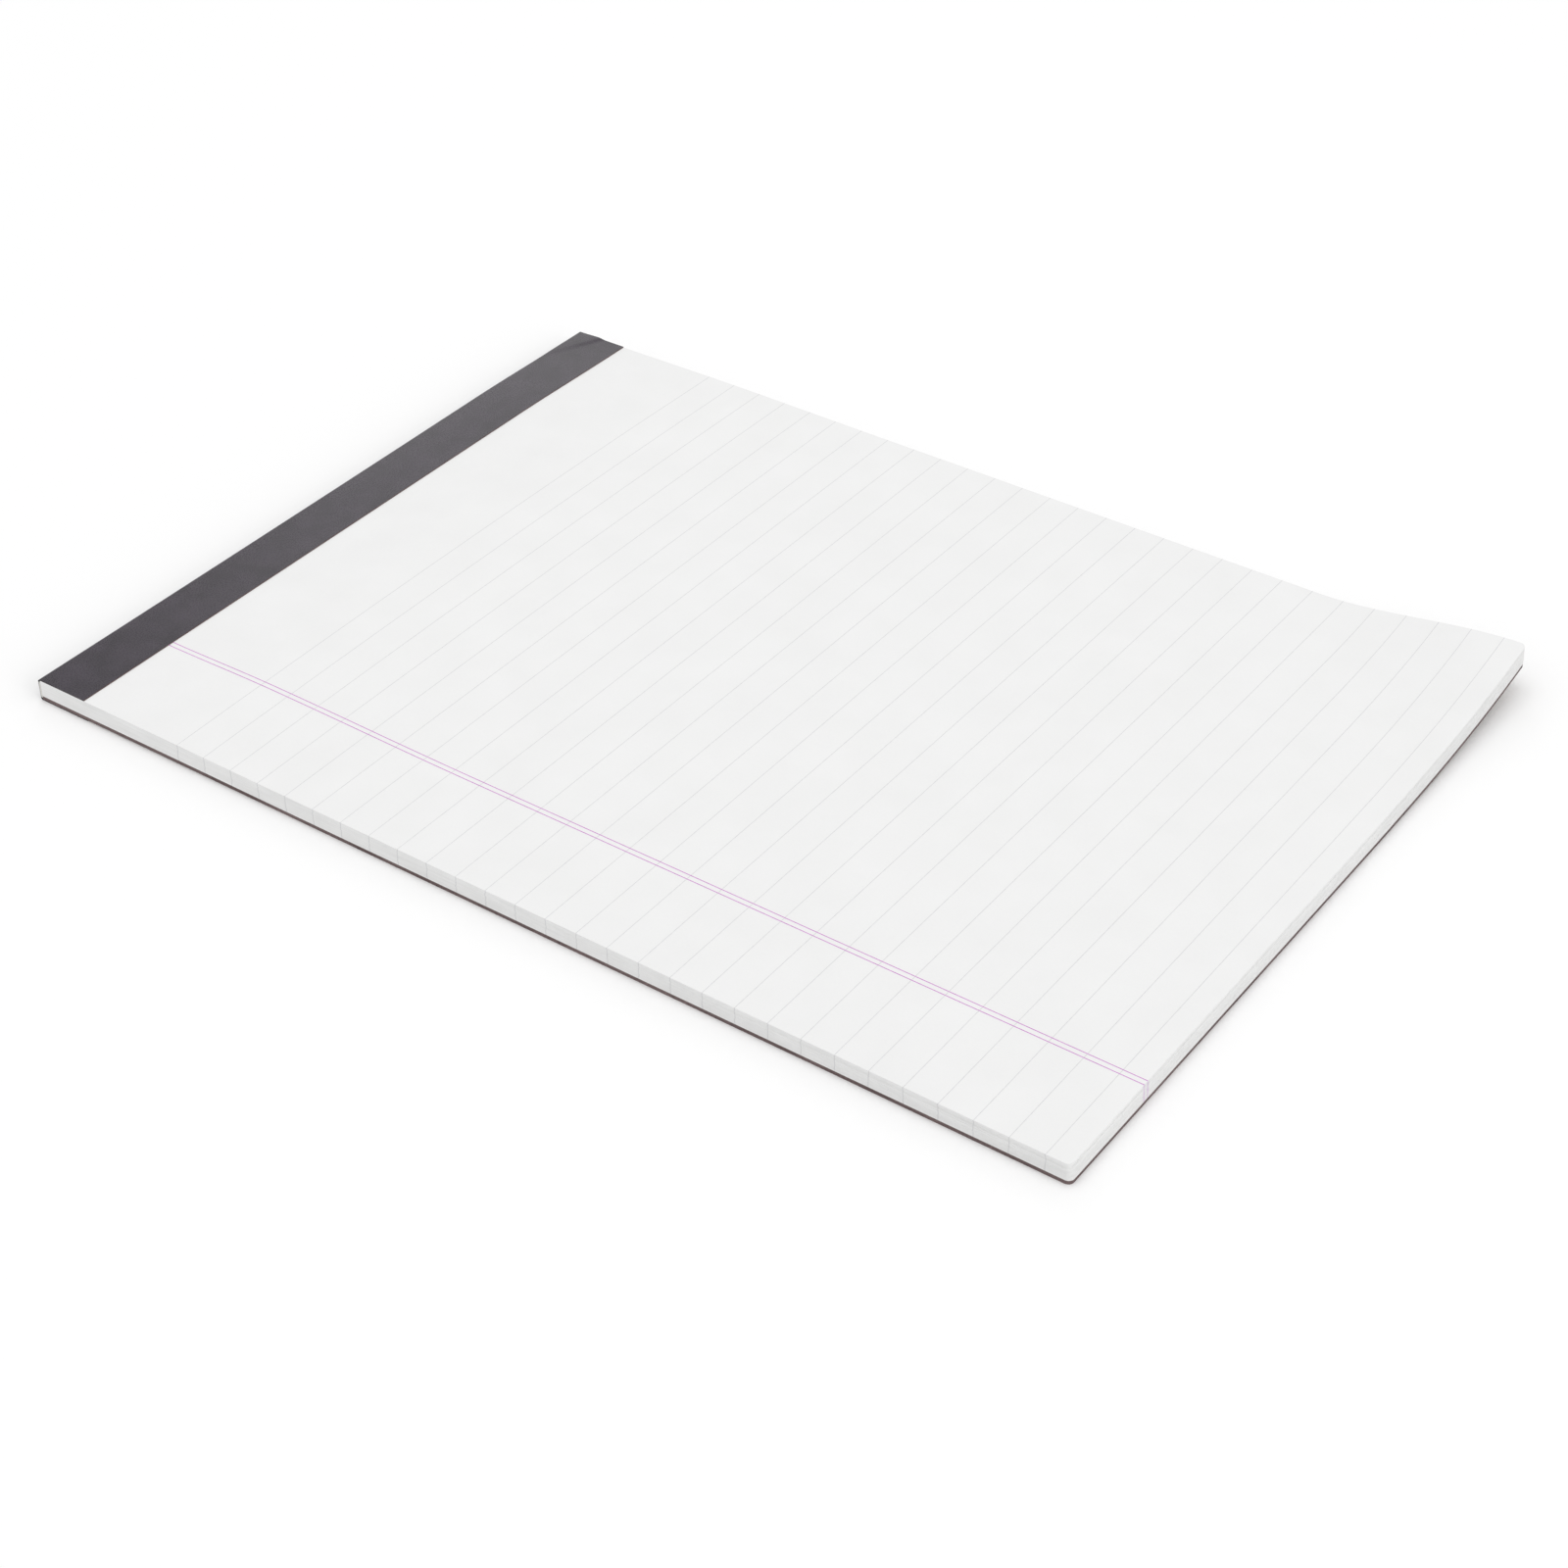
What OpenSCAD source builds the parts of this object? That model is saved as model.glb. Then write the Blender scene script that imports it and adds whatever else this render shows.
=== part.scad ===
// Legal pad: ruled sheets on a chipboard back, glued along the head and bound with one folded strip of tape.
// The frame has +X to the right of the page, +Y to the head and +Z up, with the origin at the middle of the
// underside. Distances called "from the head" run down the page from the head edge of the sheets.

/* [Page] */
// Width of the sheets, the board and the tape
page_w = 215.9; // [140:0.1:280]
// Length of the sheets and the board, from head to foot
page_l = 298.45; // [200:0.05:400]
// Thickness of the block of sheets
sheets_t = 4.7; // [2:0.1:20]
// Thickness of the chipboard back
board_t = 1; // [0.4:0.05:2]
// Rounding of the worn foot corner on the left
foot_left_r = 1.5; // [0.5:0.1:8]
// Rounding of the worn foot corner on the right
foot_right_r = 1.5; // [0.5:0.1:8]

/* [Binding] */
// Thickness of the binding tape
tape_t = 0.25; // [0.15:0.05:0.5]
// Width of the tape's flap on the top sheet, from the head's outer face
tape_top_w = 16.3; // [8:0.1:30]
// Width of the tape's flap under the board, from the head's outer face
tape_back_w = 16.3; // [8:0.1:30]
// Thickness of the film of padding glue, which is also the inner radius of the tape's folds
glue_t = 0.5; // [0.3:0.05:0.8]

/* [Relaxed sheets] */
// Rise of the loose sheets at mid width, past the edge of the tape
crown_h = 1.2; // [0.1:0.05:2]
// Distance from the tape's edge to the highest point of that rise
crown_rise_l = 34; // [15:1:40]
// Distance from that point to where the sheets lie flat and the board has come down off the tape's flap
crown_fall_l = 65; // [40:1:80]

/* [Curled corner] */
// Lift of the right foot corner
curl_lift = 6.4; // [0.5:0.1:12]
// Reach of the curl up the right edge
curl_side_l = 57; // [25:1:80]
// Reach of the curl along the foot
curl_foot_l = 87; // [40:1:110]
// How late the lift gathers towards the right edge: 1 is a plain fold, and more is a softer roll
curl_softness = 1.65; // [1:0.05:3]

/* [Hidden] */

half_w = page_w / 2;
foot_y = -(page_l + glue_t + tape_t) / 2;
head_y = foot_y + page_l;

// Heights at the head, where the board lies on the tape's back flap
board_head_z = tape_t;
top_head_z = board_head_z + board_t + sheets_t;

// Both flaps lie flat, so the sheets and the board are flat as far as the longer one
flat_l = max(tape_top_w, tape_back_w) - glue_t - tape_t;
crown_peak_l = flat_l + crown_rise_l;
settled_l = crown_peak_l + crown_fall_l;
curl_start_l = page_l - curl_side_l;
curl_turn = atan(curl_foot_l / curl_side_l);

// Excess of the curved slabs round the page, which the trimming takes off
trim = 3;
$fn = 48;

// Smooth step from 0 to 1
function ease(t) = let(s = min(1, max(0, t))) s * s * (3 - 2 * s);

// Evenly spaced stations after the first end, up to and with the last
function span(first, last, count) = [for (i = [1 : count]) first + (last - first) * i / count];

// Height of the board's underside over the table where it steps onto the back flap
function step_up(l) = board_head_z * (1 - ease((l - flat_l) / (settled_l - flat_l)));

// Lift of the curled corner: a cone whose lines meet at the right edge where the curl starts, eased along them
function curl(x, l) =
    let(
        down = l - curl_start_l,
        aside = half_w - x,
        turn = atan2(aside, down),
        share = max(0, 1 - turn / curl_turn)
    )
    down <= 0 || share == 0 ? 0 : curl_lift * ease(norm([aside, down]) / curl_side_l) * pow(share, curl_softness);

// Rise of the loose sheets past the tape, highest at mid width
function crown(x, l) =
    let(
        across = max(0, 1 - pow(x / half_w, 2)),
        rise = ease((l - flat_l) / crown_rise_l),
        fall = 1 - ease((l - crown_peak_l) / crown_fall_l)
    )
    crown_h * across * rise * fall;

function underside(x, l) = step_up(l) + curl(x, l);

// Stations across and down the page, closer together where the surface bends
curl_x = half_w - curl_foot_l;
stations_x = concat([-half_w - trim], span(-half_w - trim, curl_x, 8), span(curl_x, half_w + trim, 12));
stations_l = concat(
    [-trim, flat_l],
    span(flat_l, settled_l, 10),
    [curl_start_l],
    span(curl_start_l, page_l + trim, 9)
);

// A slab of the given thickness that lies on the underside's curve, raised by base, with the crown added on top
module curved_slab(base, thickness, crowned) {
    nx = len(stations_x);
    nl = len(stations_l);
    layer = nx * nl;
    low = [for (l = stations_l, x = stations_x) [x, head_y - l, underside(x, l) + base]];
    high = [
        for (l = stations_l, x = stations_x)
            [x, head_y - l, underside(x, l) + base + thickness + (crowned ? crown(x, l) : 0)]
    ];
    // Corners of one cell: a and b on the head side, c and d on the foot side, split along b to c
    cells = [
        for (j = [0 : nl - 2], i = [0 : nx - 2])
            let(a = j * nx + i) [a, a + 1, a + nx, a + nx + 1]
    ];
    rim = concat(
        [for (i = [0 : nx - 1]) i],
        [for (j = [1 : nl - 1]) j * nx + nx - 1],
        [for (i = [nx - 2 : -1 : 0]) (nl - 1) * nx + i],
        [for (j = [nl - 2 : -1 : 1]) j * nx]
    );
    polyhedron(
        points = concat(low, high),
        faces = concat(
            [for (c = cells) [c[0], c[2], c[1]]],
            [for (c = cells) [c[1], c[2], c[3]]],
            [for (c = cells) [c[0] + layer, c[1] + layer, c[2] + layer]],
            [for (c = cells) [c[1] + layer, c[3] + layer, c[2] + layer]],
            [
                for (k = [0 : len(rim) - 1])
                    let(p = rim[k], q = rim[(k + 1) % len(rim)]) [p, q, q + layer, p + layer]
            ]
        )
    );
}

// What a worn corner of radius r has lost, for a corner at the origin with the page at +x and +y
module lost_corner(r) {
    difference() {
        translate([-trim, -trim])
            square(r + trim);
        translate([r, r])
            circle(r);
    }
}

// The page as it was trimmed, with its two worn foot corners
module page_outline() {
    difference() {
        translate([-half_w, foot_y])
            square([page_w, page_l]);
        translate([-half_w, foot_y])
            lost_corner(foot_left_r);
        translate([half_w, foot_y])
            mirror([1, 0])
                lost_corner(foot_right_r);
    }
}

// A curved slab trimmed square to the page
module trimmed_slab(base, thickness, crowned) {
    intersection() {
        curved_slab(base, thickness, crowned);
        translate([0, 0, -trim])
            linear_extrude(top_head_z + crown_h + 2 * curl_lift + 2 * trim)
                page_outline();
    }
}

// Side view of the pad's head, grown by the given amount, with rounded folds; u runs to the head and v up
module head_profile(grown, reach_top, reach_back) {
    r = glue_t + grown;
    low = board_head_z - grown;
    high = top_head_z + grown;
    outer = head_y + r;
    middle = (board_head_z + top_head_z) / 2;
    translate([outer - reach_top, middle])
        square([reach_top - r, high - middle]);
    translate([outer - reach_back, low])
        square([reach_back - r, middle - low]);
    translate([outer - r, low + r])
        square([r, high - low - 2 * r]);
    for (v = [low + r, high - r])
        translate([outer - r, v])
            circle(r);
}

// Block of ruled writing sheets
module sheets() {
    color("#f1f0ee")
        trimmed_slab(board_t, sheets_t, true);
}

// Chipboard back
module backing_board() {
    color("#6a5d5a")
        trimmed_slab(0, board_t, false);
}

// Strip of tape folded over the head
module binding_tape() {
    color("#57525a")
        translate([-half_w, 0, 0])
            rotate([90, 0, 90])
                linear_extrude(page_w)
                    difference() {
                        head_profile(tape_t, tape_top_w, tape_back_w);
                        head_profile(0, tape_top_w + trim, tape_back_w + trim);
                    }
}

// Film of padding glue along the head, between the tape's folds
module padding_glue() {
    color("#d8d0bf")
        translate([-half_w, head_y, board_head_z + glue_t])
            cube([page_w, glue_t, top_head_z - board_head_z - 2 * glue_t]);
}

sheets();
backing_board();
binding_tape();
padding_glue();
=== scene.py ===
"""Looks of a legal pad: ruled leaves on a chipboard back, bound at the head with one folded strip of tape.

The frame has +X to the right of the page, +Y to the head and +Z up, in metres. A length called l runs down the
page from the head edge of the sheets, as in the part's source, and x runs from the middle of the page.
"""

import math

import bpy
import numpy as np
from mathutils import Matrix, Vector


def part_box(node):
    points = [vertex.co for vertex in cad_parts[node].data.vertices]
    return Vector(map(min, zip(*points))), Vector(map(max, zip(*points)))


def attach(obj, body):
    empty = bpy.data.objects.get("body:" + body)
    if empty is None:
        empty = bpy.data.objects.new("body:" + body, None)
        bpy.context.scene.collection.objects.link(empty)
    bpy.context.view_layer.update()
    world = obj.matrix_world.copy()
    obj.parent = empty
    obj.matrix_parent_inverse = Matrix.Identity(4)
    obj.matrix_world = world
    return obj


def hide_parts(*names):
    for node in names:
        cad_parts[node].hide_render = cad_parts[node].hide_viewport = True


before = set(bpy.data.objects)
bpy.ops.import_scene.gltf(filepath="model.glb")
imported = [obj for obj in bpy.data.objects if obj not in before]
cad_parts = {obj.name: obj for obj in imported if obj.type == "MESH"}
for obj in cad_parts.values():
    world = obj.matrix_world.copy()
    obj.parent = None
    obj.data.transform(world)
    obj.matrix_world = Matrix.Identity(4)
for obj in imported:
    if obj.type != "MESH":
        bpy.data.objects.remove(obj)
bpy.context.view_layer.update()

MM = 0.001

# Sizes that repeat the part's source
SHEETS_T = 4.7 * MM
BOARD_T = 1 * MM
FOOT_LEFT_R = 1.5 * MM
FOOT_RIGHT_R = 1.5 * MM
TAPE_T = 0.25 * MM
TAPE_TOP_W = 16.3 * MM
TAPE_BACK_W = 16.3 * MM
GLUE_T = 0.5 * MM
CROWN_H = 1.2 * MM
CROWN_RISE_L = 34 * MM
CROWN_FALL_L = 65 * MM
CURL_LIFT = 6.4 * MM
CURL_SIDE_L = 57 * MM
CURL_FOOT_L = 87 * MM
CURL_SOFTNESS = 1.65

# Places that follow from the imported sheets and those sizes
sheets_low, sheets_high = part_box("sheets")
HALF_W = sheets_high.x
HEAD_Y = sheets_high.y
PAGE_L = sheets_high.y - sheets_low.y
TOP_HEAD_Z = TAPE_T + BOARD_T + SHEETS_T
FLAT_L = max(TAPE_TOP_W, TAPE_BACK_W) - GLUE_T - TAPE_T
CROWN_PEAK_L = FLAT_L + CROWN_RISE_L
SETTLED_L = CROWN_PEAK_L + CROWN_FALL_L
CURL_START_L = PAGE_L - CURL_SIDE_L
CURL_TURN = math.atan(CURL_FOOT_L / CURL_SIDE_L)

# Leaves, board and glue
LEAF_COUNT = 50
LEAF_PITCH = SHEETS_T / LEAF_COUNT
LEAF_GAP = 0.004 * MM
LEAF_SHIFT = 0.05 * MM
FOOT_LEAN = 0.25 * MM
CROWN_SHARE = 1.5
LEAF_STEP_FLAT = 20 * MM
LEAF_STEP_BENT = 7 * MM
TOP_STEP = 4 * MM
BOARD_STEP = 5 * MM
CORNER_ROWS = 6
CORNER_REACH = 4
GLUE_ROWS = 4

# Knocked head corner on the right and soft head fold, where the leaves and the tape are pressed down
KNOCK_H = 0.75 * MM
KNOCK_W = 48 * MM
KNOCK_L = 68 * MM
FOLD_DIP = 0.3 * MM
FOLD_DIP_L = 9 * MM

# Print
FIRST_LINE_L = 46.9 * MM
LINE_PITCH = 8.77 * MM
LINE_COUNT = 29
LINE_W = 0.16 * MM
MARGIN_LINES = (29.6 * MM, 31.1 * MM)
MARGIN_W = 0.22 * MM
INK_SUNK = 0.004 * MM
RULED_PROUD = 0.010 * MM
MARGIN_PROUD = 0.016 * MM

# Tape
TAPE_STEP_X = 2.0 * MM
TAPE_STEP_END = 0.6 * MM
TAPE_FINE_END = 28 * MM
TAPE_STEP_S = 0.6 * MM
FOLD_STEPS = 9
WALL_STEPS = 7
FLAP_SKEW = 0.22 * MM
CREASE_HEAD = 19 * MM
CREASE_SIDE = 9.2 * MM
PUCKER_H = 0.26 * MM
PUCKER_LEAST = 0.15
PUCKER_RISE = 2.2 * MM
PUCKER_FALL = 6 * MM
RIPPLE_H = 0.012 * MM
RIPPLE_SHORT = 2.3 * MM
RIPPLE_SWAY = 5 * MM
RIPPLE_LONG = 5.1 * MM
RIPPLE_SLANT = 2.9 * MM

# Colours, each pair from the low to the high end of its noise
PAPER_TONES = (0.872, 0.872, 0.869), (0.892, 0.892, 0.890)
PAPER_FLECKS = (0.985, 0.985, 0.985), (1, 1, 1)
EDGE_TONES = (0.81, 0.81, 0.805), (0.87, 0.87, 0.865)
EDGE_GRIME = (0.95, 0.95, 0.95), (1, 1, 1)
RULED_INK = (0.74, 0.74, 0.745), (0.65, 0.65, 0.66)
RULED_EDGE_INK = (0.42, 0.42, 0.44)
MARGIN_INK = (0.65, 0.28, 0.65), (0.54, 0.18, 0.54)
MARGIN_EDGE_INK = (0.66, 0.48, 0.70)
TAPE_TONES = (0.019, 0.014, 0.0215), (0.037, 0.028, 0.041)
TAPE_CUT_TONES = (0.085, 0.045, 0.038), (0.15, 0.08, 0.068)
TAPE_END_BLACK = (0.012, 0.011, 0.012), (0.03, 0.028, 0.03)
TAPE_END_GLUE = (0.30, 0.29, 0.29), (0.46, 0.45, 0.44)
BOARD_FACE_TONES = (0.30, 0.26, 0.24), (0.38, 0.34, 0.31)
# Board edge: the chipboard's own reddish brown, made darker than the face by painted contact shade under the
# leaves
BOARD_EDGE_TONES_AND_SHADE = (0.12, 0.085, 0.085), (0.20, 0.15, 0.15)
BOARD_FLECKS = (0.8, 0.78, 0.77), (1.1, 1.1, 1.1)
BOARD_FIBRES = (1, 1, 1), (1.25, 1.25, 1.27)
BOARD_SPECKS = (1, 1, 1), (0.55, 0.55, 0.58)
GLUE_TONES = (0.60, 0.59, 0.56), (0.70, 0.69, 0.66)
WHITE = (1, 1, 1, 1)

# Finish of each material: roughness and specular level
PAPER_FINISH = (0.9, 0.2)
EDGE_FINISH = (0.95, 0.1)
INK_FINISH = (0.8, 0.2)
CUT_FINISH = (0.9, 0.5)
BOARD_FINISH = (0.92, 0.2)
GLUE_FINISH = (0.45, 0.5)
FLOOR_FINISH = (1.0, 0.0)
TAPE_ROUGHNESS = (0.25, 0.31)
TAPE_SPECULAR = 0.30

# Sizes of the patterns, and the bands of noise that they are drawn from
NOISE_OFFSET = (0.31, 0.57, 0.43)
NOISE_MIDDLE = 0.5
NOISE_BAND = (0.3, 0.7)
PAPER_CLOUD_SIZE = 14 * MM
PAPER_FIBRE_SIZE = 0.5 * MM
PAPER_RELIEF = 0.004 * MM
EDGE_STREAK_SIZE = 0.25 * MM
EDGE_STREAK_STRETCH = (60, 60, 1)
EDGE_GRIME_SIZE = 9 * MM
EDGE_GRIME_STRETCH = (1, 1, 0.3)
EDGE_GRIME_BAND = (0.35, 0.7)
EDGE_SWAY = 0.8 * MM
EDGE_SWAY_SIZE = 1.2 * MM
EDGE_SWAY_STRETCH = (1, 12, 1)
EDGE_FACING = 0.8
RULED_BLEED = (0.04 * MM, 0.20 * MM)
RULED_BLEED_SHARE = 0.42
MARGIN_BLEED = (0.2 * MM, 0.45 * MM)
MARGIN_BLEED_LEAST = 0.25
INK_SIZE = 0.8 * MM
TAPE_CLOUD_SIZE = 5 * MM
TAPE_GRAIN_SIZE = 0.35 * MM
TAPE_RELIEF = 0.012 * MM
TAPE_CUT_SIZE = 0.6 * MM
TAPE_END_SIZE = 0.4 * MM
TAPE_SMEAR = (1.9 * MM, 2.5 * MM)
BOARD_CLOUD_SIZE = 16 * MM
BOARD_FLECK_SIZE = 0.5 * MM
BOARD_FLECK_BAND = (0.25, 0.75)
BOARD_FIBRE_SIZE = 0.9 * MM
BOARD_FIBRE_STRETCH = (3, 1, 1)
BOARD_FIBRE_BAND = (0.62, 0.74)
BOARD_SPECK_SIZE = 1.3 * MM
BOARD_SPECK_BAND = (0.70, 0.76)
BOARD_RELIEF = 0.03 * MM
GLUE_STREAK_SIZE = 1.5 * MM
GLUE_STREAK_STRETCH = (6, 1, 1)

# Studio, with each lamp's azimuth and elevation in degrees, distance and size in metres, and power in watts
CAMERA_AT = Vector((-515.098, -371.772, 453.919)) * MM
CAMERA_AIM = Vector((-33.523, -24.834, 2.85)) * MM
CAMERA_ROLL = math.radians(0.535)
CAMERA_LENS = 71.82
CAMERA_SENSOR = 36
TOP_LAMP = (90, 82, 2.5, 1.6, 9.2)
BACK_LAMP = (40, 29, 2.5, 0.93, 2.8)
FILL_LAMP = (258, 25, 2.5, 1.2, 9.1)
FLOOR_HALF = 4.0
FLOOR_NEAR = 0.35
FLOOR_FAR = 0.9
FLOOR_DROP = 0.05 * MM
WORLD_LEVEL = 0.80

SHARP_ANGLE = math.radians(35)
TINY = 1e-6
SEED = 7


# Surfaces shared with the part's source

def ease(t):
    s = np.clip(t, 0, 1)
    return s * s * (3 - 2 * s)


def step_up(l):
    """Height of the board's underside where it comes down off the tape's back flap."""
    return TAPE_T * (1 - ease((l - FLAT_L) / (SETTLED_L - FLAT_L)))


def curl(x, l):
    """Conical lift of the curled foot corner."""
    down = l - CURL_START_L
    aside = HALF_W - x
    share = np.maximum(0, 1 - np.arctan2(aside, down) / CURL_TURN)
    lift = CURL_LIFT * ease(np.hypot(aside, down) / CURL_SIDE_L) * share**CURL_SOFTNESS
    return np.where(down > 0, lift, 0)


def arch(x):
    """One in the middle of the page, falling to zero at both sides."""
    return np.maximum(0, 1 - (x / HALF_W) ** 2)


def crown(x, l):
    """Rise of the loose sheets past the tape."""
    fall = 1 - ease((l - CROWN_PEAK_L) / CROWN_FALL_L)
    return CROWN_H * arch(x) * ease((l - FLAT_L) / CROWN_RISE_L) * fall


def underside(x, l):
    return step_up(l) + curl(x, l)


# Grids and meshes

def fill(marks, step):
    """Stations through all the marks, with none further apart than the step."""
    marks = np.unique(np.round(marks, 8))
    made = [marks[:1]]
    for first, last in zip(marks[:-1], marks[1:]):
        count = math.ceil((last - first) / step - TINY)
        made.append(np.linspace(first, last, count + 1)[1:])
    return np.concatenate(made)


def fill_parts(marks, steps):
    """Stations through all the marks, with a step of its own between each two."""
    parts = [fill(marks[i : i + 2], step) for i, step in enumerate(steps)]
    return np.concatenate([parts[0]] + [part[1:] for part in parts[1:]])


def nearest(stations, place):
    return np.argmin(abs(stations - place))


def corner_rows():
    """Stations down the page for the rounding of both worn foot corners."""
    turns = np.linspace(0, math.pi / 2, CORNER_ROWS + 1)
    return PAGE_L - FOOT_LEFT_R * (1 - np.sin(turns))


def corner_loss(l, r):
    """How far a worn corner of radius r pulls the side edge in."""
    into = np.clip(l - (PAGE_L - r), 0, r)
    return r - np.sqrt(r * r - into * into)


def page_grid(columns, rows):
    """Grid over the page, drawn in at the two worn foot corners."""
    x, l = np.meshgrid(columns, rows)
    near_left = np.clip(1 - (x + HALF_W) / (CORNER_REACH * FOOT_LEFT_R), 0, 1)
    near_right = np.clip(1 - (HALF_W - x) / (CORNER_REACH * FOOT_RIGHT_R), 0, 1)
    x = x + near_left * corner_loss(l, FOOT_LEFT_R) - near_right * corner_loss(l, FOOT_RIGHT_R)
    return x, l


def slab_faces(shape):
    """Faces of a closed slab over a grid of that shape, and which of them are the rim."""
    count = shape[0] * shape[1]
    index = np.arange(count).reshape(shape)
    around = [index[:-1, :-1], index[:-1, 1:], index[1:, 1:], index[1:, :-1]]
    cells = np.stack(around, -1).reshape(-1, 4)
    ring = np.concatenate([index[-1, :-1], index[:0:-1, -1], index[0, :0:-1], index[:-1, 0]])
    after = np.roll(ring, -1)
    rim = np.stack([ring, after, after + count, ring + count], -1)
    faces = np.concatenate([cells, cells[:, ::-1] + count, rim])
    return faces, np.arange(len(faces)) >= 2 * len(cells)


def slab(x, l, low, high):
    """Closed slab between two heights over a grid: its points, its faces, and which faces are the rim."""
    y = HEAD_Y - l
    points = np.concatenate([np.stack([x, y, z], -1).reshape(-1, 3) for z in (low, high)])
    faces, is_rim = slab_faces(x.shape)
    return points, faces, is_rim


def join(solids):
    """Several solids as one list of points, faces and rim flags."""
    counts = [len(points) for points, _, _ in solids]
    starts = np.concatenate([[0], np.cumsum(counts)[:-1]])
    points = np.concatenate([solid[0] for solid in solids])
    faces = np.concatenate([solid[1] + start for solid, start in zip(solids, starts)])
    return points, faces, np.concatenate([solid[2] for solid in solids])


def plain(solid):
    """The same solid with one material all over."""
    points, faces, _ = solid
    return points, faces, np.zeros(len(faces))


def make_piece(name, solid, materials):
    """Mesh object from points, faces and each face's material number, riding on the pad."""
    points, faces, material_of_face = solid
    mesh = bpy.data.meshes.new(name)
    mesh.from_pydata(points.tolist(), [], faces.tolist())
    for material in materials:
        mesh.materials.append(material)
    mesh.polygons.foreach_set("material_index", np.asarray(material_of_face, np.int32))
    mesh.shade_smooth()
    mesh.set_sharp_from_angle(angle=SHARP_ANGLE)
    piece = bpy.data.objects.new(name, mesh)
    bpy.context.scene.collection.objects.link(piece)
    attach(piece, "root")
    return piece


# Nodes

def add(tree, kind, inputs=None, **settings):
    """New node with its settings, and with its inputs set or linked."""
    made = tree.nodes.new(kind)
    for key, value in settings.items():
        setattr(made, key, value)
    for key, value in (inputs or {}).items():
        if isinstance(value, bpy.types.NodeSocket):
            tree.links.new(value, made.inputs[key])
        else:
            made.inputs[key].default_value = value
    return made


def math_op(tree, operation, *values):
    return add(tree, "ShaderNodeMath", dict(enumerate(values)), operation=operation).outputs[0]


def split(tree, vector):
    return add(tree, "ShaderNodeSeparateXYZ", {"Vector": vector}).outputs


def noise(tree, coordinates, size, detail, stretch=(1, 1, 1)):
    """Noise with features of the given size in metres, longer along an axis by its stretch."""
    scale = tuple(1 / (size * s) for s in stretch)
    placing = {"Vector": coordinates, "Scale": scale, "Location": NOISE_OFFSET}
    mapped = add(tree, "ShaderNodeMapping", placing).outputs[0]
    texture = add(tree, "ShaderNodeTexNoise", {"Vector": mapped, "Scale": 1.0, "Detail": detail})
    return texture.outputs["Fac"]


def spread(tree, value, band, ends):
    """The value, taken from its band to run between two ends."""
    limits = {"Value": value, "From Min": band[0], "From Max": band[1], "To Min": ends[0], "To Max": ends[1]}
    return add(tree, "ShaderNodeMapRange", limits).outputs[0]


def near(tree, distance, band):
    """One up to the band's first distance, falling to zero at its second."""
    return spread(tree, distance, band, (1.0, 0.0))


def mix(tree, share, first, second):
    made = add(tree, "ShaderNodeMix", {"Factor": share}, data_type="RGBA")
    for socket, value in ((made.inputs[6], first), (made.inputs[7], second)):
        if isinstance(value, bpy.types.NodeSocket):
            tree.links.new(value, socket)
        else:
            socket.default_value = (*value, 1)
    return made.outputs[2]


def multiply(tree, first, second):
    blend = add(tree, "ShaderNodeMix", {"Factor": 1.0}, data_type="RGBA", blend_type="MULTIPLY")
    tree.links.new(first, blend.inputs[6])
    tree.links.new(second, blend.inputs[7])
    return blend.outputs[2]


def ramp(tree, value, band, tones):
    """Colours from the first tone to the second as the value goes through its band."""
    return mix(tree, spread(tree, value, band, (0.0, 1.0)), *tones)


def begin_material(name):
    """New material: its tree, its shader and its coordinates on the object."""
    material = bpy.data.materials.new(name)
    material.use_nodes = True
    tree = material.node_tree
    shader = tree.nodes["Principled BSDF"]
    coordinates = add(tree, "ShaderNodeTexCoord").outputs["Object"]
    return material, tree, shader, coordinates


def set_colour(tree, shader, colour):
    tree.links.new(colour, shader.inputs["Base Color"])


def set_finish(shader, finish):
    shader.inputs["Roughness"].default_value = finish[0]
    shader.inputs["Specular IOR Level"].default_value = finish[1]


def set_bump(tree, shader, height, depth):
    bump = add(tree, "ShaderNodeBump", {"Height": height, "Distance": depth, "Strength": 1.0})
    tree.links.new(bump.outputs[0], shader.inputs["Normal"])


def seen_rays(tree):
    """One for what the camera sees, straight or mirrored, and zero for light on its way to a surface."""
    rays = add(tree, "ShaderNodeLightPath").outputs
    seen = math_op(tree, "MAXIMUM", rays["Is Camera Ray"], rays["Is Glossy Ray"])
    return math_op(tree, "MAXIMUM", seen, rays["Is Transmission Ray"])


# Materials

def paper_material():
    material, tree, shader, at = begin_material("paper")
    cloud = noise(tree, at, PAPER_CLOUD_SIZE, detail=3)
    fibre = noise(tree, at, PAPER_FIBRE_SIZE, detail=4)
    tone = ramp(tree, cloud, NOISE_BAND, PAPER_TONES)
    set_colour(tree, shader, multiply(tree, tone, ramp(tree, fibre, NOISE_BAND, PAPER_FLECKS)))
    set_finish(shader, PAPER_FINISH)
    set_bump(tree, shader, fibre, PAPER_RELIEF)
    return material


def edge_paper(tree, at, leaf):
    """Colour of the cut edges under the ink, streaked leaf by leaf and a little grimy."""
    grime = noise(tree, at, EDGE_GRIME_SIZE, detail=3, stretch=EDGE_GRIME_STRETCH)
    tone = ramp(tree, leaf, NOISE_BAND, EDGE_TONES)
    return multiply(tree, tone, ramp(tree, grime, EDGE_GRIME_BAND, EDGE_GRIME))


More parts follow.
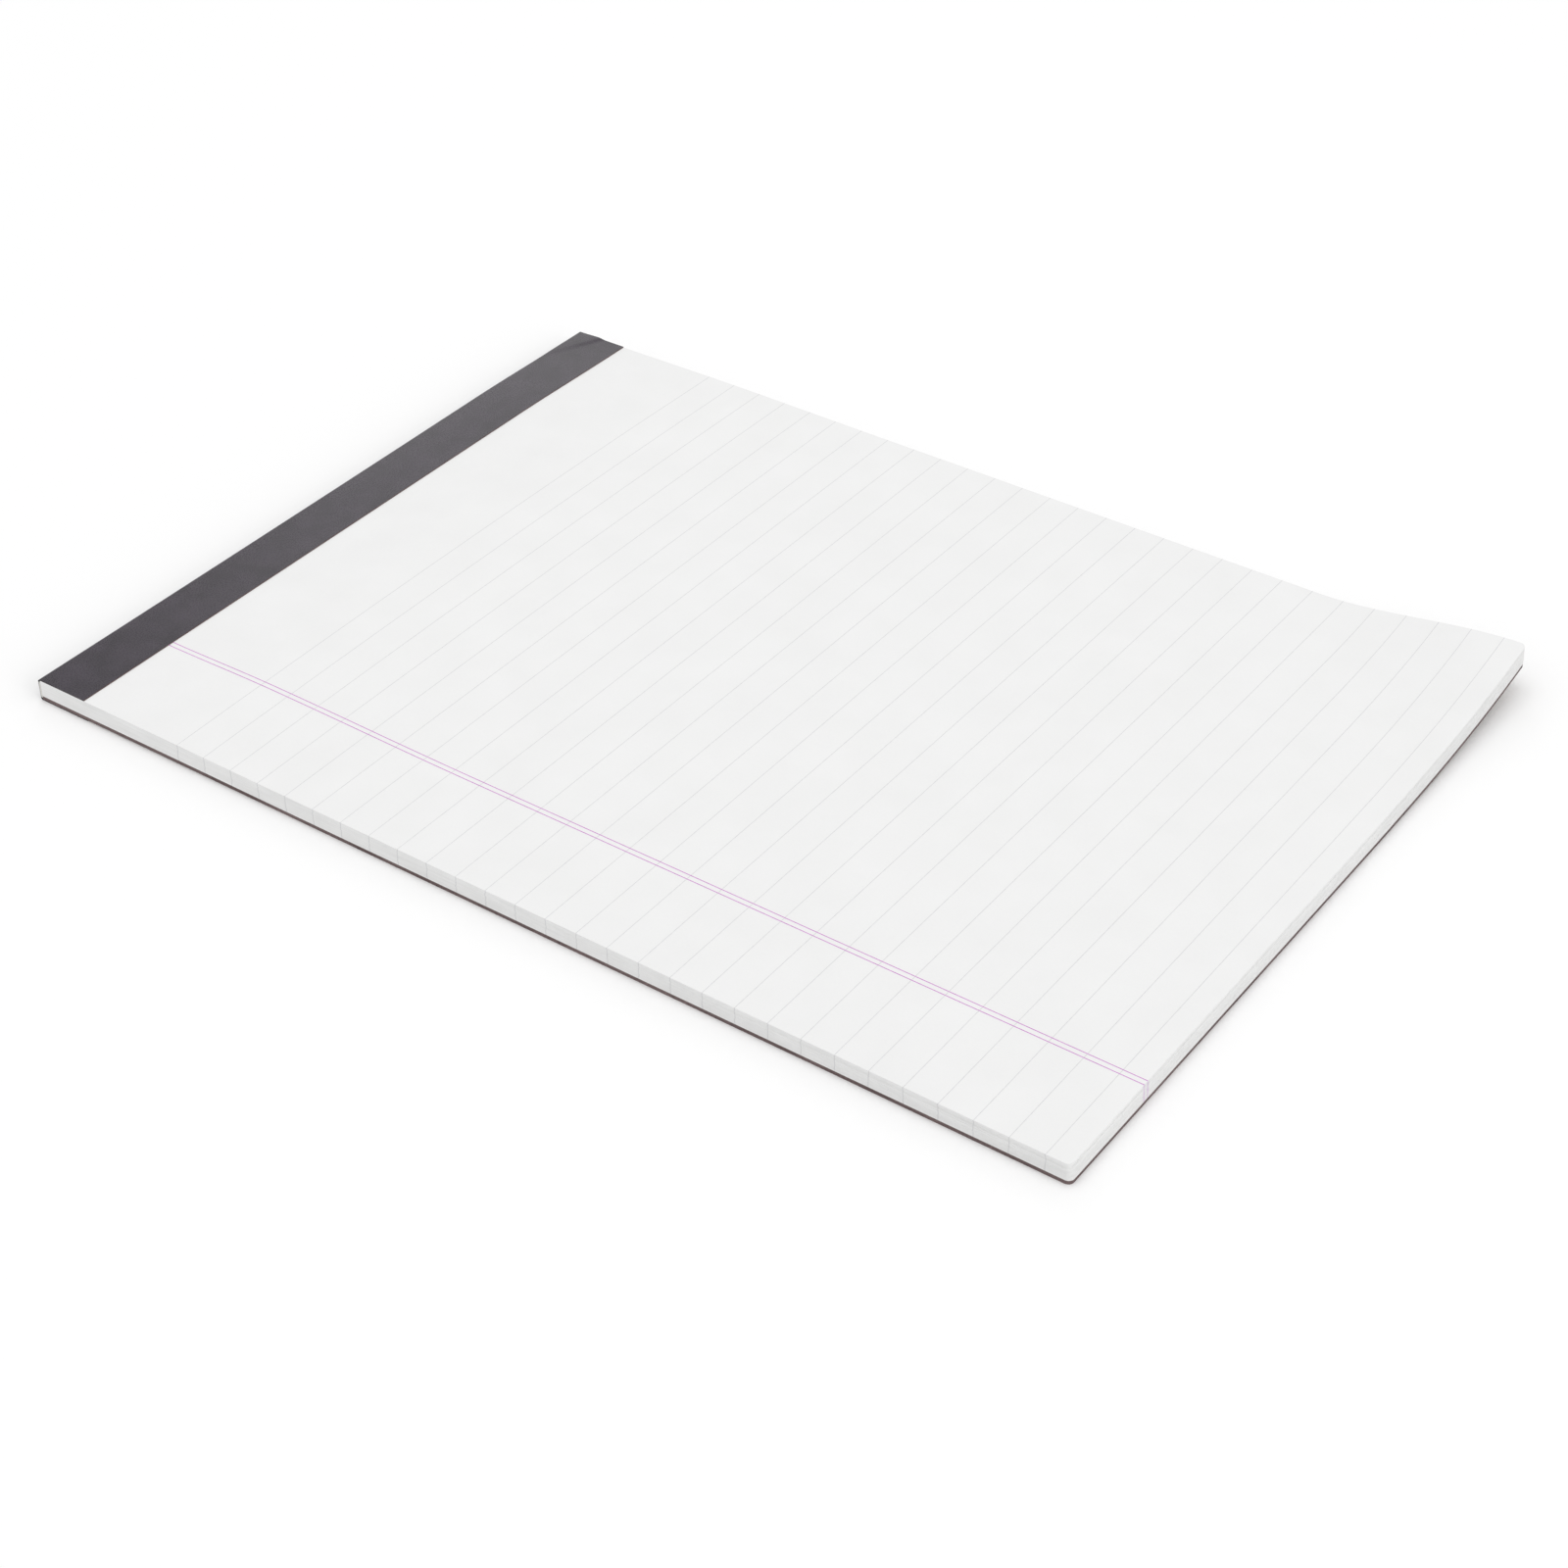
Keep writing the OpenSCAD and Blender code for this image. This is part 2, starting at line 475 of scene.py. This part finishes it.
def ruled_bleed(tree, down, facing):
    """Share of the ruled lines' ink on the long edges."""
    on_line = near(tree, math_op(tree, "PINGPONG", down, LINE_PITCH / 2), RULED_BLEED)
    below_head = math_op(tree, "GREATER_THAN", down, -LINE_PITCH / 4)
    sideways = math_op(tree, "GREATER_THAN", math_op(tree, "ABSOLUTE", facing["X"]), EDGE_FACING)
    ink = math_op(tree, "MULTIPLY", math_op(tree, "MULTIPLY", on_line, below_head), sideways)
    return math_op(tree, "MULTIPLY", ink, RULED_BLEED_SHARE)


def margin_bleed(tree, across, facing, leaf, line):
    """Share of one margin line's ink on the foot edge, dotted leaf by leaf."""
    at_foot = math_op(tree, "LESS_THAN", facing["Y"], -EDGE_FACING)
    off_line = math_op(tree, "ABSOLUTE", math_op(tree, "SUBTRACT", across, line))
    bleed = math_op(tree, "MULTIPLY", near(tree, off_line, MARGIN_BLEED), at_foot)
    return math_op(tree, "MULTIPLY", bleed, math_op(tree, "ADD", leaf, MARGIN_BLEED_LEAST))


def edge_material():
    """Cut edges of the leaves, with ruled ink bled over the long edges and margin ink over the foot."""
    material, tree, shader, at = begin_material("paper_edge")
    place = split(tree, at)
    facing = split(tree, add(tree, "ShaderNodeNewGeometry").outputs["Normal"])
    leaf = noise(tree, at, EDGE_STREAK_SIZE, detail=2, stretch=EDGE_STREAK_STRETCH)
    wander = noise(tree, at, EDGE_SWAY_SIZE, detail=2, stretch=EDGE_SWAY_STRETCH)
    sway = math_op(tree, "MULTIPLY", math_op(tree, "SUBTRACT", wander, NOISE_MIDDLE), EDGE_SWAY)
    down = math_op(tree, "SUBTRACT", HEAD_Y - FIRST_LINE_L, math_op(tree, "ADD", place["Y"], sway))
    across = math_op(tree, "ADD", math_op(tree, "ADD", place["X"], HALF_W), sway)
    tone = mix(tree, ruled_bleed(tree, down, facing), edge_paper(tree, at, leaf), RULED_EDGE_INK)
    for line in MARGIN_LINES:
        tone = mix(tree, margin_bleed(tree, across, facing, leaf, line), tone, MARGIN_EDGE_INK)
    set_colour(tree, shader, tone)
    set_finish(shader, EDGE_FINISH)
    return material


def ink_material(name, tones):
    material, tree, shader, at = begin_material(name)
    density = noise(tree, at, INK_SIZE, detail=3)
    set_colour(tree, shader, ramp(tree, density, NOISE_BAND, tones))
    set_finish(shader, INK_FINISH)
    return material


def tape_material():
    material, tree, shader, at = begin_material("tape_face")
    cloud = noise(tree, at, TAPE_CLOUD_SIZE, detail=3)
    grain = noise(tree, at, TAPE_GRAIN_SIZE, detail=3)
    set_colour(tree, shader, ramp(tree, cloud, NOISE_BAND, TAPE_TONES))
    tree.links.new(spread(tree, grain, NOISE_BAND, TAPE_ROUGHNESS), shader.inputs["Roughness"])
    shader.inputs["Specular IOR Level"].default_value = TAPE_SPECULAR
    set_bump(tree, shader, grain, TAPE_RELIEF)
    return material


def cut_material():
    """Cut edges of the two flaps."""
    material, tree, shader, at = begin_material("tape_cut")
    fray = noise(tree, at, TAPE_CUT_SIZE, detail=3)
    set_colour(tree, shader, ramp(tree, fray, NOISE_BAND, TAPE_CUT_TONES))
    set_finish(shader, CUT_FINISH)
    return material


def end_material():
    """Trimmed ends of the tape, black on both flaps and smeared with pale glue down the head."""
    material, tree, shader, at = begin_material("tape_end")
    fray = noise(tree, at, TAPE_END_SIZE, detail=3)
    black = ramp(tree, fray, NOISE_BAND, TAPE_END_BLACK)
    glue = ramp(tree, fray, NOISE_BAND, TAPE_END_GLUE)
    above_middle = math_op(tree, "SUBTRACT", split(tree, at)["Z"], (TAPE_T + TOP_HEAD_Z) / 2)
    smear = near(tree, math_op(tree, "ABSOLUTE", above_middle), TAPE_SMEAR)
    set_colour(tree, shader, mix(tree, smear, black, glue))
    set_finish(shader, CUT_FINISH)
    return material


def board_material(name, tones):
    """Chipboard: clouded, with flecks, pale fibres and dark specks."""
    material, tree, shader, at = begin_material(name)
    cloud = noise(tree, at, BOARD_CLOUD_SIZE, detail=5)
    fleck = noise(tree, at, BOARD_FLECK_SIZE, detail=3)
    fibre = noise(tree, at, BOARD_FIBRE_SIZE, detail=2, stretch=BOARD_FIBRE_STRETCH)
    speck = noise(tree, at, BOARD_SPECK_SIZE, detail=1)
    tone = ramp(tree, cloud, NOISE_BAND, tones)
    tone = multiply(tree, tone, ramp(tree, fleck, BOARD_FLECK_BAND, BOARD_FLECKS))
    tone = multiply(tree, tone, ramp(tree, fibre, BOARD_FIBRE_BAND, BOARD_FIBRES))
    tone = multiply(tree, tone, ramp(tree, speck, BOARD_SPECK_BAND, BOARD_SPECKS))
    set_colour(tree, shader, tone)
    set_finish(shader, BOARD_FINISH)
    set_bump(tree, shader, fleck, BOARD_RELIEF)
    return material


def glue_material():
    material, tree, shader, at = begin_material("padding_glue")
    streak = noise(tree, at, GLUE_STREAK_SIZE, detail=3, stretch=GLUE_STREAK_STRETCH)
    set_colour(tree, shader, ramp(tree, streak, NOISE_BAND, GLUE_TONES))
    set_finish(shader, GLUE_FINISH)
    return material


def floor_material():
    """White floor that takes the pad's shadow and fades into the white background further out."""
    material, tree, shader, at = begin_material("floor")
    shader.inputs["Base Color"].default_value = WHITE
    set_finish(shader, FLOOR_FINISH)
    away = add(tree, "ShaderNodeVectorMath", {0: at}, operation="LENGTH").outputs["Value"]
    limits = {"Value": away, "From Min": FLOOR_NEAR, "From Max": FLOOR_FAR}
    far = add(tree, "ShaderNodeMapRange", limits, interpolation_type="SMOOTHSTEP").outputs[0]
    white = add(tree, "ShaderNodeEmission", {"Color": WHITE, "Strength": 1.0}).outputs[0]
    share = math_op(tree, "MULTIPLY", far, seen_rays(tree))
    blend = add(tree, "ShaderNodeMixShader", {0: share, 1: shader.outputs[0], 2: white}).outputs[0]
    tree.links.new(blend, tree.nodes["Material Output"].inputs["Surface"])
    return material


# Sheets, board and glue

def pressed(x, l):
    """How far the top is pressed down, towards the knocked head corner and along the fold at the head."""
    from_head = np.maximum(l, 0)
    knock = KNOCK_H * ease(1 - (HALF_W - x) / KNOCK_W) * ease(1 - from_head / KNOCK_L)
    return knock + FOLD_DIP * arch(x) * np.maximum(0, 1 - from_head / FOLD_DIP_L) ** 2


def leaf_pitch(x, l):
    """Thickness of one leaf, thinner where the top is pressed down."""
    return LEAF_PITCH * (1 - pressed(x, l) / SHEETS_T)


def leaf_heights(x, l, number):
    """Underside of one leaf, counted from the board up: the upper leaves take more of the crown."""
    crowned = (number / (LEAF_COUNT - 1)) ** CROWN_SHARE * crown(x, l)
    return underside(x, l) + BOARD_T + number * leaf_pitch(x, l) + crowned


def leaf_grid():
    """Grid of one leaf, finer where it bends."""
    columns = fill_parts([-HALF_W, HALF_W - CURL_FOOT_L, HALF_W], [LEAF_STEP_FLAT, LEAF_STEP_BENT])
    bends = [0, FLAT_L, SETTLED_L, CURL_START_L, PAGE_L - FOOT_LEFT_R]
    rows = fill_parts(bends, [LEAF_STEP_BENT, LEAF_STEP_BENT, LEAF_STEP_FLAT, LEAF_STEP_BENT])
    return page_grid(columns, np.concatenate([rows, corner_rows()[1:]]))


def make_leaves(materials):
    """All leaves under the top one, each a closed solid a hair off its neighbours, leaning out at the foot."""
    random = np.random.default_rng(SEED)
    x, l = leaf_grid()
    loose = l / PAGE_L
    solids = []
    for number in range(LEAF_COUNT - 1):
        low = leaf_heights(x, l, number)
        high = low + leaf_pitch(x, l) - LEAF_GAP
        shift_x, shift_l = random.uniform(-LEAF_SHIFT, LEAF_SHIFT, 2)
        lean = FOOT_LEAN * (1 - number / LEAF_COUNT)
        solids.append(slab(x + loose * shift_x, l + loose * (shift_l + lean), low, high))
    piece = make_piece("leaves", join(solids), materials)
    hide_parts("sheets")


def line_edges(middles, width):
    return [middle + side * width / 2 for middle in middles for side in (-1, 1)]


def make_ink(name, surface, strips, proud, ink):
    """Thin films of ink over strips of the top sheet's grid."""
    films = []
    for strip in strips:
        x, l, high = (grid[strip] for grid in surface)
        films.append(slab(x, l, high - INK_SUNK, high + proud))
    make_piece(name, plain(join(films)), (ink,))


def make_top_sheet(paper, edge, ruled_ink, margin_ink):
    """The top leaf and the films of ink on it, which share its grid."""
    ruled = FIRST_LINE_L + LINE_PITCH * np.arange(LINE_COUNT)
    margin = [m - HALF_W for m in MARGIN_LINES]
    columns = fill([-HALF_W, *line_edges(margin, MARGIN_W), HALF_W - CURL_FOOT_L, HALF_W], TOP_STEP)
    rows = fill([0, FLAT_L, *line_edges(ruled, LINE_W), *corner_rows()], TOP_STEP)
    x, l = page_grid(columns, rows)
    low = leaf_heights(x, l, LEAF_COUNT - 1)
    high = low + leaf_pitch(x, l)
    piece = make_piece("top_sheet", slab(x, l, low, high), (paper, edge))
    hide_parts("sheets")
    firsts = [nearest(rows, line - LINE_W / 2) for line in ruled]
    strips = [(slice(first, first + 2), slice(None)) for first in firsts]
    make_ink("ruled_lines", (x, l, high), strips, RULED_PROUD, ruled_ink)
    below_tape = slice(nearest(rows, FLAT_L) - 1, None)
    firsts = [nearest(columns, line - MARGIN_W / 2) for line in margin]
    strips = [(below_tape, slice(first, first + 2)) for first in firsts]
    make_ink("margin_lines", (x, l, high), strips, MARGIN_PROUD, margin_ink)


def make_board(face, edge):
    """Chipboard back, leaning out at the foot with the lowest leaves."""
    columns = fill([-HALF_W, HALF_W - CURL_FOOT_L, HALF_W], BOARD_STEP)
    rows = fill([0, FLAT_L, SETTLED_L, CURL_START_L, *corner_rows()], BOARD_STEP)
    x, l = page_grid(columns, rows)
    low = underside(x, l)
    solid = slab(x, l + FOOT_LEAN * l / PAGE_L, low, low + BOARD_T)
    # The rim takes the edge material, whose dark colour holds painted contact shade as well as the chipboard's
    # own brown
    piece = make_piece("board", solid, (face, edge))
    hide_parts("backing_board")


def make_glue(glue):
    """Film of padding glue along the head, pressed down with the leaves."""
    columns = fill([-HALF_W, HALF_W - KNOCK_W, HALF_W], BOARD_STEP)
    x, l = np.meshgrid(columns, np.linspace(-GLUE_T, 0, GLUE_ROWS))
    low = np.full(x.shape, TAPE_T + GLUE_T)
    high = TOP_HEAD_Z - GLUE_T - pressed(x, l)
    piece = make_piece("glue_film", plain(slab(x, l, low, high)), (glue,))
    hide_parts("padding_glue")


# Tape

def tape_path():
    """Places and normals of the tape's inner line in side view, from the top flap's edge to the back flap's."""
    r = GLUE_T
    flap = np.linspace(HEAD_Y - FLAT_L, HEAD_Y, math.ceil(FLAT_L / TAPE_STEP_S) + 1)
    back = flap[::-1][1:]
    wall = np.linspace(TOP_HEAD_Z - r, TAPE_T + r, WALL_STEPS + 1)[1:]
    over = np.linspace(math.pi / 2, 0, FOLD_STEPS + 1)[1:]
    under = np.linspace(0, -math.pi / 2, FOLD_STEPS + 1)[1:]
    runs = [
        (flap, np.full(flap.shape, TOP_HEAD_Z), np.full(flap.shape, math.pi / 2)),
        (HEAD_Y + r * np.cos(over), TOP_HEAD_Z - r + r * np.sin(over), over),
        (np.full(wall.shape, HEAD_Y + r), wall, np.zeros(wall.shape)),
        (HEAD_Y + r * np.cos(under), TAPE_T + r + r * np.sin(under), under),
        (back, np.full(back.shape, TAPE_T), np.full(back.shape, -math.pi / 2)),
    ]
    return [np.concatenate(parts) for parts in zip(*runs)]


def pucker(x, l):
    """How far the tape stands off behind the crease across its knocked corner."""
    from_head = l / CREASE_SIDE
    from_side = (HALF_W - x) / CREASE_HEAD
    behind = (1 - from_head - from_side) / math.hypot(1 / CREASE_SIDE, 1 / CREASE_HEAD)
    along = np.clip(1 - from_side, 0, 1)
    bump = ease(behind / PUCKER_RISE) * (1 - ease((behind - PUCKER_RISE) / PUCKER_FALL))
    return PUCKER_H * (PUCKER_LEAST + (1 - PUCKER_LEAST) * along) * bump


def ripple(x, l):
    """Slight waves of the stuck-down tape, from zero to their full height."""
    short = np.sin(x / RIPPLE_SHORT + 2 * np.sin(l / RIPPLE_SWAY))
    long = np.sin(x / RIPPLE_LONG - l / RIPPLE_SLANT)
    return RIPPLE_H * (2 + short + long) / 4


def tape_surfaces():
    """Grids of the tape's inner and outer points, with the skew, the crease, the waves and the soft fold."""
    y, z, normal = tape_path()
    columns = fill_parts([-HALF_W, HALF_W - TAPE_FINE_END, HALF_W], [TAPE_STEP_X, TAPE_STEP_END])
    x, _ = np.meshgrid(columns, y)
    y, z, normal = (np.repeat(a[:, None], len(columns), 1) for a in (y, z, normal))
    on_top = np.clip(np.sin(normal), 0, 1)
    l = np.maximum(HEAD_Y - y, 0) * (1 + on_top * FLAP_SKEW / FLAT_L * x / HALF_W)
    y = np.where(y < HEAD_Y, HEAD_Y - l, y)
    up_wall = np.clip((z - TAPE_T - GLUE_T) / (SHEETS_T + BOARD_T - 2 * GLUE_T), 0, 1)
    z = z + (pucker(x, l) + ripple(x, l)) * on_top - pressed(x, l) * up_wall
    inner = np.stack([x, y, z], -1)
    outer = np.stack([x, y + TAPE_T * np.cos(normal), z + TAPE_T * np.sin(normal)], -1)
    return inner, outer


def make_tape(face, cut, end):
    """Folded strip, with materials of their own on its cut edges and its trimmed ends."""
    inner, outer = tape_surfaces()
    points = np.concatenate([inner.reshape(-1, 3), outer.reshape(-1, 3)])
    faces, is_rim = slab_faces(inner.shape[:2])
    faces = faces[:, ::-1]
    at_end = abs(abs(points[faces].mean(1)[:, 0]) - HALF_W) < TINY
    material_of_face = np.where(is_rim, np.where(at_end, 2, 1), 0)
    piece = make_piece("tape", (points, faces, material_of_face), (face, cut, end))
    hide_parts("binding_tape")


# Camera, lights and floor

def make_camera():
    camera = bpy.data.cameras.new("camera")
    camera.sensor_fit = "HORIZONTAL"
    camera.sensor_width = CAMERA_SENSOR
    camera.lens = CAMERA_LENS
    ahead = (CAMERA_AIM - CAMERA_AT).normalized()
    level = ahead.cross(Vector((0, 0, 1))).normalized()
    down = ahead.cross(level)
    right = level * math.cos(CAMERA_ROLL) + down * math.sin(CAMERA_ROLL)
    up = right.cross(ahead)
    holder = bpy.data.objects.new("camera", camera)
    holder.matrix_world = Matrix.Translation(CAMERA_AT) @ Matrix((right, up, -ahead)).transposed().to_4x4()
    bpy.context.scene.collection.objects.link(holder)
    bpy.context.scene.camera = holder


def make_lamp(name, azimuth, elevation, distance, size, power):
    """Square soft lamp aimed at the pad; azimuth runs from +X towards +Y."""
    lamp = bpy.data.lights.new(name, "AREA")
    lamp.shape = "SQUARE"
    lamp.size = size
    lamp.energy = power
    turn = math.radians(azimuth)
    rise = math.radians(elevation)
    away = Vector((math.cos(turn) * math.cos(rise), math.sin(turn) * math.cos(rise), math.sin(rise)))
    holder = bpy.data.objects.new(name, lamp)
    holder.location = away * distance
    holder.rotation_euler = away.to_track_quat("Z", "Y").to_euler()
    bpy.context.scene.collection.objects.link(holder)


def make_world():
    """White where it is looked at or mirrored, and a little dimmer as a light."""
    world = bpy.data.worlds.new("studio")
    bpy.context.scene.world = world
    world.use_nodes = True
    tree = world.node_tree
    sky = tree.nodes["Background"]
    sky.inputs["Color"].default_value = WHITE
    level = spread(tree, seen_rays(tree), (0.0, 1.0), (WORLD_LEVEL, 1.0))
    tree.links.new(level, sky.inputs["Strength"])


def make_floor():
    corners = [(-1, -1), (1, -1), (1, 1), (-1, 1)]
    points = [(FLOOR_HALF * a, FLOOR_HALF * b, -FLOOR_DROP) for a, b in corners]
    mesh = bpy.data.meshes.new("floor")
    mesh.from_pydata(points, [], [(0, 1, 2, 3)])
    mesh.materials.append(floor_material())
    floor = bpy.data.objects.new("floor", mesh)
    bpy.context.scene.collection.objects.link(floor)


def main():
    paper = paper_material()
    edge = edge_material()
    make_leaves((paper, edge))
    ruled_ink = ink_material("ruled_ink", RULED_INK)
    margin_ink = ink_material("margin_ink", MARGIN_INK)
    make_top_sheet(paper, edge, ruled_ink, margin_ink)
    board_face = board_material("board_face", BOARD_FACE_TONES)
    # Board edge: chipboard brown darkened with painted contact shade
    board_edge_and_shade = board_material("board_edge_and_shade", BOARD_EDGE_TONES_AND_SHADE)
    make_board(board_face, board_edge_and_shade)
    make_tape(tape_material(), cut_material(), end_material())
    make_glue(glue_material())
    make_floor()
    make_world()
    make_lamp("top_lamp", *TOP_LAMP)
    make_lamp("back_lamp", *BACK_LAMP)
    make_lamp("fill_lamp", *FILL_LAMP)
    make_camera()
    bpy.context.scene.view_settings.view_transform = "Standard"


main()
